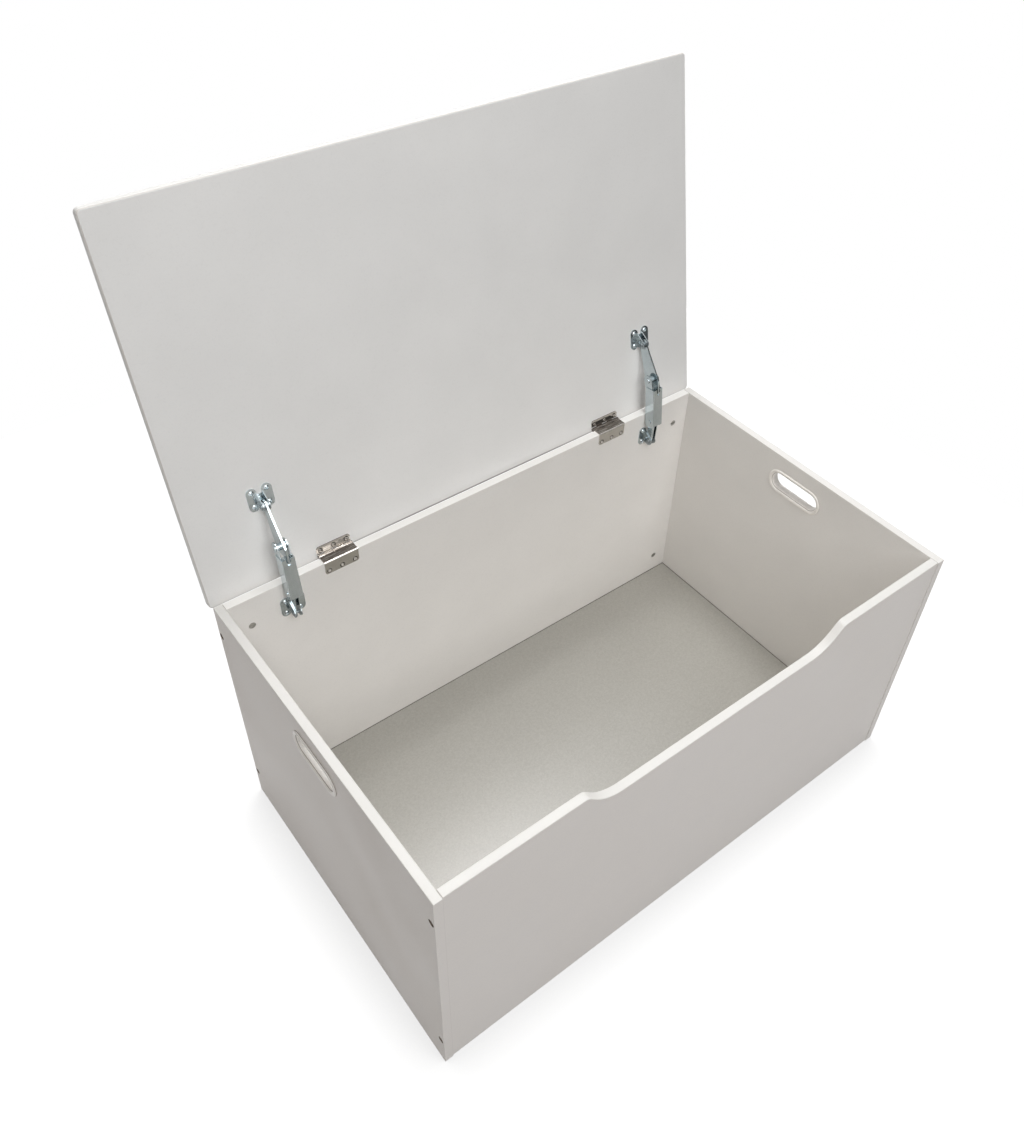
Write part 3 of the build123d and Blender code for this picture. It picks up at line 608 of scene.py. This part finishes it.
def screw_grid(head_radius, crown, sink, shank_radius, length, around=48):
    """Points of a screw along -z whose seat is at z = 0, as an array of rows, columns and x, y, z.

    Head: a cap of a sphere, z = crown * (1 - (r / R)^2), less the cross recess, whose arms lie where
    x or y is small. Below it a cone of depth sink narrows from the head to the shank, and the shank
    carries a helix, r = core + ridge * tooth(z / pitch - angle / turn), until it tapers to the tip.
    """
    blunt_tip = 0.15
    taper_start = 0.8
    thread_start = 0.1
    thread_end = 0.93
    arm_width = (0.20 * head_radius, 0.09 * head_radius)
    arm_reach = (0.66 * head_radius, 0.5 * head_radius)
    recess_depth = 0.42 * head_radius
    pitch = 0.75 * shank_radius
    ridge = 0.28 * shank_radius
    turn = np.linspace(0.0, 2.0 * np.pi, around, endpoint=False)
    cap = np.linspace(0.0, 1.0, 15)
    neck = np.linspace(0.0, 1.0, 4)[1:]
    neck_radius = head_radius + (shank_radius - head_radius) * neck
    shank_height = np.linspace(-sink, -sink - length, 44)[1:]
    taper = smooth_step(shank_height, -sink - length, -sink - taper_start * length)
    shank = shank_radius * (blunt_tip + (1.0 - blunt_tip) * taper)
    radius = np.concatenate([head_radius * cap, neck_radius, shank])[:, None]
    height = np.concatenate([crown * (1.0 - cap**2), -sink * neck, shank_height])[:, None]
    x = radius * np.cos(turn)
    y = radius * np.sin(turn)
    arm = smooth_step(np.minimum(abs(x), abs(y)), *arm_width)
    reach = smooth_step(radius, *arm_reach)
    on_cap = (np.arange(len(radius)) < len(cap))[:, None]
    recess = recess_depth * arm * reach * on_cap * (1.0 - 0.5 * radius / head_radius)
    tooth = abs((height / pitch - turn / (2.0 * np.pi)) % 1.0 - 0.5) * 2.0
    threaded = (height < -sink - thread_start * length) & (height > -sink - thread_end * length)
    grown = radius - ridge * (1.0 - tooth) * threaded
    return np.stack([grown * np.cos(turn), grown * np.sin(turn), height - recess], axis=-1)


def grid_faces(rows, columns):
    """Quads between the rows of a closed grid, wound so that they face outwards with rows going down."""
    row = np.arange(rows - 1)[:, None] * columns
    here = np.arange(columns)[None, :]
    after = (here + 1) % columns
    corners = [row + here, row + columns + here, row + columns + after, row + after]
    return np.stack(corners, axis=-1).reshape(-1, 4)


sharp_angle = math.radians(38.0)


def fastener_piece(name, grid, seats, body, slot):
    """Copies a fastener's grid into its seats, each a turn and a place, and makes one mesh of them.

    The first and the last row of the grid become one point each, closed by a fan of triangles.
    """
    rows, columns = grid.shape[:2]
    turns = np.array([turn for turn, place in seats])
    places = np.array([place for turn, place in seats])
    points = np.einsum("sij,rcj->srci", turns, grid) + places[:, None, None, :]
    ends = points[:, [0, -1]].mean(axis=2)
    points = np.concatenate([points[:, 1:-1].reshape(len(seats), -1, 3), ends], axis=1)
    inner = rows - 2
    here = np.arange(columns)
    after = (here + 1) % columns
    last = (inner - 1) * columns
    top = np.stack([np.full(columns, inner * columns), here, after], axis=-1)
    tip = np.stack([np.full(columns, inner * columns + 1), last + after, last + here], axis=-1)
    step = points.shape[1] * np.arange(len(seats))[:, None, None]
    quads = (grid_faces(inner, columns) + step).reshape(-1, 4)
    fans = (np.concatenate([top, tip]) + step).reshape(-1, 3)
    faces = quads.tolist() + fans.tolist()
    mesh = bpy.data.meshes.new(name)
    mesh.from_pydata(points.reshape(-1, 3).tolist(), [], faces)
    mesh.polygons.foreach_set("use_smooth", np.ones(len(faces), dtype=bool))
    mesh.set_sharp_from_angle(angle=sharp_angle)
    mesh.materials.append(finishes[slot])
    piece = bpy.data.objects.new(name, mesh)
    bpy.context.scene.collection.objects.link(piece)
    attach(piece, body)
    return piece


dome_screw = screw_grid(head_radius=0.0036, crown=0.0018, sink=0.00025, shank_radius=0.0016, length=0.0086)
print("a dome-headed screw has", dome_screw.shape[0], "rows of", dome_screw.shape[1], "points")

# %% [markdown]
# ## Where the screws sit
#
# A seat is a turn that takes the screw's own z to the way that its head looks, and the place of the seat.
# The seats on the back wall are read straight off the leaves and brackets. Those on the lid are worked out
# as if the lid were shut, where its underside is level, and then swung open about the hinge.

# %% Seats on the wall and on the lid
swing = np.array([
    [1.0, 0.0, 0.0],
    [0.0, math.cos(open_angle), math.sin(open_angle)],
    [0.0, -math.sin(open_angle), math.cos(open_angle)],
])
to_front = np.array([[1.0, 0.0, 0.0], [0.0, 0.0, -1.0], [0.0, 1.0, 0.0]])
downwards = np.array([[1.0, 0.0, 0.0], [0.0, -1.0, 0.0], [0.0, 0.0, -1.0]])
chance = np.random.default_rng(7)


def twisted(turn):
    """The same seat with the screw left at a chance angle, as a screwdriver leaves it."""
    angle = chance.uniform(0.0, 0.5 * np.pi)
    cosine = np.cos(angle)
    sine = np.sin(angle)
    spin = np.array([[cosine, -sine, 0.0], [sine, cosine, 0.0], [0.0, 0.0, 1.0]])
    return turn @ spin


def wall_seat(x, y, z):
    """A seat on the back wall, for a screw whose head looks to the front."""
    return twisted(to_front), np.array([x, y, z])


def lid_seat(x, y, z):
    """A seat on the shut lid's underside, swung open with the lid."""
    place = swing @ (np.array([x, y, z]) - axis) + axis
    return swing @ twisted(downwards), place


bracket_sheet = 0.0015
bracket_across = 0.0103
bracket_along = 0.010
lid_bracket_reach = 0.1175
box_leaf_seats = []
lid_leaf_seats = []
wall_bracket_seats = []
lid_bracket_seats = []
for side in ("left", "right"):
    low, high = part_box(side + "_hinge_box_leaf")
    middle = 0.5 * (low.x + high.x)
    for step in (-leaf_pitch, 0.0, leaf_pitch):
        box_leaf_seats.append(wall_seat(middle + step, low.y, low.z + box_row_lift))
        lid_leaf_seats.append(lid_seat(middle + step, axis[1] - lid_row_reach, shut_lid_under - leaf_sheet))
    low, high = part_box(side + "_base_bracket")
    middle = 0.5 * (low.x + high.x)
    level = 0.5 * (low.z + high.z)
    for x in (middle - bracket_across, middle + bracket_across):
        for step in (-bracket_along, bracket_along):
            wall_bracket_seats.append(wall_seat(x, high.y - bracket_sheet, level + step))
            y = axis[1] - lid_bracket_reach + step
            lid_bracket_seats.append(lid_seat(x, y, shut_lid_under - bracket_sheet))
print(len(box_leaf_seats + lid_leaf_seats), "hinge screws")
print(len(wall_bracket_seats + lid_bracket_seats), "bracket screws")

# %% [markdown]
# The hinge screws have sunk heads with a low crown. On the lid's leaves it is only a third of a millimetre,
# because the two leaves close on each other. They are a little smaller than their sinks, so that a dark ring
# shows round them. The bracket screws have full domes. Each group takes the place of its plain CAD node and
# rides on the same body.

# %% Put the screws in
sunk_screw = {"head_radius": 0.0026, "sink": leaf_sheet, "shank_radius": 0.0015, "length": 0.0088}
lid_hinge_screw = screw_grid(crown=0.00035, **sunk_screw)
box_hinge_screw = screw_grid(crown=0.0009, **sunk_screw)
groups = (
    ("hinge_box_screws", box_hinge_screw, box_leaf_seats, "box", "nickel"),
    ("hinge_lid_screws", lid_hinge_screw, lid_leaf_seats, "lid", "nickel"),
    ("base_bracket_screws", dome_screw, wall_bracket_seats, "box", "zinc"),
    ("lid_bracket_screws", dome_screw, lid_bracket_seats, "lid", "zinc"),
)
for node, grid, seats, body, slot in groups:
    piece = fastener_piece("cross_slotted_" + node, grid, seats, body, slot)
    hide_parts(node)
    print(piece.name, len(piece.data.polygons), "faces")

# %% [markdown]
# ## Socket bolts
#
# The corner bolts sit a little below the surface of the sides, so that a dark ring of the bore shows round
# each head, and a hexagon socket is sunk into it. That is again one grid of rows and columns: the outline of
# a bolt turned about its axis, but on the two rows of the socket the radius follows a hexagon instead of
# a circle. The shank could be left out, since it hides in the board, but a whole bolt can be used again.

# %% Bolts in their bores
def bolt_grid(head_radius, sunk, head_bottom, socket_half, socket_depth, shank_radius, length, around=48):
    """Points of a bolt along -z whose bore opens at z = 0, as an array of rows, columns and x, y, z.

    The socket's radius is half its width over the cosine of the angle to the nearest flat.
    """
    turn = np.linspace(0.0, 2.0 * np.pi, around, endpoint=False)
    to_flat = (turn + np.pi / 6.0) % (np.pi / 3.0) - np.pi / 6.0
    hexagon = socket_half / np.cos(to_flat)
    rounding = 0.0004
    outline = np.array([
        [head_radius - rounding, -sunk],
        [head_radius, -sunk - rounding],
        [head_radius, -head_bottom],
        [shank_radius, -head_bottom],
        [shank_radius, -head_bottom - 0.96 * length],
        [0.75 * shank_radius, -head_bottom - length],
        [0.0, -head_bottom - length],
    ])
    turned = np.broadcast_to(outline[:, :1], (len(outline), around))
    radius = np.concatenate([np.zeros((1, around)), np.stack([hexagon, hexagon]), turned])
    socket_floor = -sunk - socket_depth
    height = np.concatenate([[socket_floor, socket_floor, -sunk], outline[:, 1]])[:, None]
    return np.stack([radius * np.cos(turn), radius * np.sin(turn), height + 0.0 * radius], axis=-1)


to_right = np.array([[0.0, 0.0, 1.0], [1.0, 0.0, 0.0], [0.0, 1.0, 0.0]])
to_left = np.array([[0.0, 0.0, -1.0], [-1.0, 0.0, 0.0], [0.0, 1.0, 0.0]])
bolt_seats = []
for way, x in ((to_left, -outside_half), (to_right, outside_half)):
    for y in (bolt_low.y + bolt_head, bolt_high.y - bolt_head):
        for z in (bolt_low.z + bolt_head, bolt_high.z - bolt_head):
            bolt_seats.append((twisted(way), np.array([x, y, z])))
bore_play = 0.0003
socket_bolt = bolt_grid(
    head_radius=bolt_head - bore_play,
    sunk=0.0014,
    head_bottom=0.0026,
    socket_half=0.002,
    socket_depth=0.0011,
    shank_radius=0.0029,
    length=0.0459,
)
bolts = fastener_piece("socket_corner_bolts", socket_bolt, bolt_seats, "box", "dark_zinc")
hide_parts("corner_bolts")
print(bolts.name, len(bolt_seats), "bolts,", len(bolts.data.polygons), "faces")

# %% [markdown]
# ## The studio floor
#
# The photograph was taken on white, and only a thin soft shadow lies round the foot of the box. The floor
# is a plain pale sheet that catches the light and the shadow. To the camera, and in reflections, it glows as
# well, so that it reads as white without more light falling on the box. The glow could be the same all over,
# but then it would drown the shadow, so it fades where the box hides the sky from the sheet, which Blender's
# ambient occlusion measures. The same switch for rays makes the world white behind it. Polished metal needs
# something dark to mirror as well, and the studio was dark beyond the white at the right of the camera,
# so the world that mirrors see has a dark patch on that side.

# %% Floor and world
def seen_directly(tree):
    """1 for rays from the camera, from mirrors and through glass, 0 for rays that only carry light."""
    path = put(tree, "LightPath")
    direct = calc(tree, "MAXIMUM", path.outputs["Is Camera Ray"], path.outputs["Is Glossy Ray"])
    return calc(tree, "MAXIMUM", direct, path.outputs["Is Transmission Ray"])


def sheet_grid(half, steps, level):
    """A level square sheet, x and y from -half to half on an even grid, z at one level."""
    line = np.linspace(-half, half, steps)
    x, y = np.meshgrid(line, line)
    points = np.stack([x, y, np.full_like(x, level)], axis=-1).reshape(-1, 3)
    corner = (np.arange(steps - 1)[:, None] * steps + np.arange(steps - 1)[None, :]).reshape(-1)
    faces = np.stack([corner, corner + 1, corner + steps + 1, corner + steps], axis=-1)
    return points, faces


points, faces = sheet_grid(half=1.1, steps=5, level=-0.0004)
ground_mesh = bpy.data.meshes.new("studio_floor")
ground_mesh.from_pydata(points.tolist(), [], faces.tolist())
ground = bpy.data.objects.new("studio_floor", ground_mesh)
bpy.context.scene.collection.objects.link(ground)
paper, tree, shader, place = new_finish("pale_paper")
shader.inputs["Roughness"].default_value = 0.9
shader.inputs["Specular IOR Level"].default_value = 0.0
seen = seen_directly(tree)
lighting_grey = shade(0.40, 0.40, 0.40)
seen_grey = shade(0.16, 0.16, 0.16)
feed(tree, shader, Base_Color=between(tree, seen, lighting_grey, seen_grey))
shadow_reach = 0.085
sky = put(tree, "AmbientOcclusion", {"samples": 12}, Distance=shadow_reach).outputs["AO"]
glow_level = calc(tree, "MULTIPLY", seen, spread(tree, sky, 0.74, 0.97, 0.5, 0.98))
glow = put(tree, "Emission", Color=shade(1.0, 1.0, 1.0), Strength=glow_level)
both = put(tree, "AddShader", _0=shader.outputs[0], _1=glow.outputs[0])
tree.links.new(both.outputs[0], tree.nodes["Material Output"].inputs["Surface"])
ground_mesh.materials.append(paper)

world = bpy.data.worlds.new("studio")
bpy.context.scene.world = world
world.use_nodes = True
tree = world.node_tree
fill = tree.nodes["Background"]
fill.inputs["Color"].default_value = shade(1.0, 0.98, 0.95)
fill.inputs["Strength"].default_value = 0.03
dark_way = (0.85, -0.52, -0.05)
to_dark = dotted(tree, put(tree, "TexCoord").outputs["Generated"], dark_way)
mirrored = put(tree, "LightPath").outputs["Is Glossy Ray"]
in_dark = calc(tree, "MULTIPLY", mirrored, spread(tree, to_dark, 0.0, 0.9, 0.74, 0.86))
white_level = calc(tree, "SUBTRACT", 1.0, in_dark)
white = put(tree, "Background", Color=shade(1.0, 1.0, 1.0), Strength=white_level)
choice = put(tree, "MixShader", _0=seen_directly(tree), _1=fill.outputs[0], _2=white.outputs[0])
tree.links.new(choice.outputs[0], tree.nodes["World Output"].inputs["Surface"])
print("floor and world ready")

# %% [markdown]
# ## The lamps
#
# The upward rims are the brightest, the lid and the back wall come next, and the left side is the darkest.
# So the light comes from above and mostly from the front, where one large square lamp stands. The floor
# inside gets lighter away from the back wall, so a smaller lamp hangs high up behind the open lid, which
# keeps its light off the back of the floor. A weak warm one lifts the left wall. Their strengths were found
# by lighting the box with one lamp at a time and weighing the pictures against the photograph. Two more stand
# low behind the lid's plane, where the camera's picture hardly shows their light, so that the back and the
# right side aren't left in the dark when the box is seen from there. In the shut lid they would show as
# bright squares, so they are kept out of mirrored rays.

# %% Lamps
def soft_lamp(name, place, aim, size, watts, tint=(1.0, 1.0, 1.0)):
    """A square area lamp at a place, turned to look at a point."""
    lamp = bpy.data.lights.new(name, "AREA")
    lamp.shape = "SQUARE"
    lamp.size = size
    lamp.energy = watts
    lamp.color = tint
    made = bpy.data.objects.new(name, lamp)
    bpy.context.scene.collection.objects.link(made)
    made.location = place
    way = np.array(aim) - np.array(place)
    level = math.hypot(way[0], way[1])
    made.rotation_euler = (math.atan2(level, -way[2]), 0.0, math.atan2(-way[0], way[1]))
    made.visible_camera = False
    return made


warm = (1.0, 0.95, 0.89)
soft_lamp("front_lamp", (-0.2, -2.05, 2.3), aim=(0.0, -0.25, 0.2), size=2.1, watts=52.5)
soft_lamp("ceiling_lamp", (0.5, 0.6, 2.7), aim=(0.05, -0.3, 0.02), size=0.8, watts=34.5)
soft_lamp("left_lamp", (-2.8, -0.1, 1.3), aim=(0.0, -0.25, 0.3), size=2.0, watts=14.3, tint=warm)
right_lamp = soft_lamp("right_lamp", (2.4, 0.5, 0.5), aim=(0.42, -0.25, 0.22), size=0.9, watts=18.0)
back_lamp = soft_lamp("back_lamp", (0.3, 2.6, 0.9), aim=(0.0, 0.05, 0.5), size=1.6, watts=26.0)
right_lamp.visible_glossy = False
back_lamp.visible_glossy = False
print("lamps ready")

# %% [markdown]
# ## The camera
#
# The picture was taken from above the left front corner, with a short lens a little off its centre. The
# numbers come from matching the box's corners in the picture, 1024 by 1128 points, to the model's.

# %% Camera
view = bpy.data.cameras.new("photo_view")
view.sensor_width = 36.0
view.lens = 33.169
view.shift_x = -0.02054
view.shift_y = -0.01959
view.clip_start = 0.05
view.clip_end = 60.0
camera = bpy.data.objects.new("photo_view", view)
bpy.context.scene.collection.objects.link(camera)
camera.location = (-0.66323, -0.93112, 1.37129)
camera.rotation_euler = (0.81390, -0.02851, -0.65923)
bpy.context.scene.camera = camera
bpy.context.scene.view_settings.view_transform = "Standard"
print("camera", tuple(round(part, 3) for part in camera.location))
